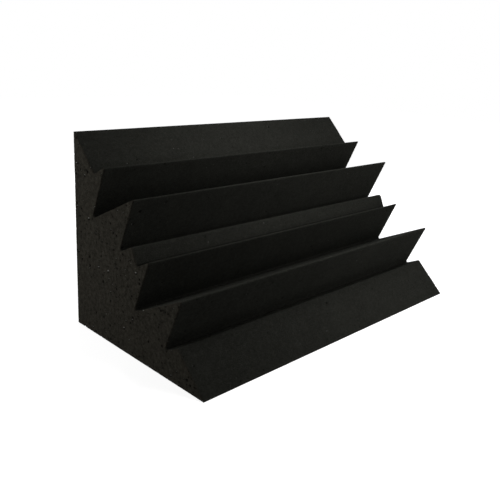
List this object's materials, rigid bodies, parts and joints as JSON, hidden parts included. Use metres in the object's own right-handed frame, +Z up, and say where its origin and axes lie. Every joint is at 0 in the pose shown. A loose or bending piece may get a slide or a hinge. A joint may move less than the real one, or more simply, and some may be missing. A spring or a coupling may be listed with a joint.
{
  "type": "corner bass trap",
  "caption": "Long triangular foam block with square wall faces and a lengthwise sawtooth front, which sits in a room corner and absorbs low-frequency sound.",
  "frame": {"origin": "middle of the rectangle that the block stands on, on the surface", "axes": "+X along the block's length, -Y to the room, +Y to the wall behind, +Z up"},
  "size_m": [0.6096, 0.3048, 0.3048],
  "materials": {
    "foam": "matte"
  },
  "bodies": {
    "root": {"foam_block": "foam"}
  },
  "joints": []
}
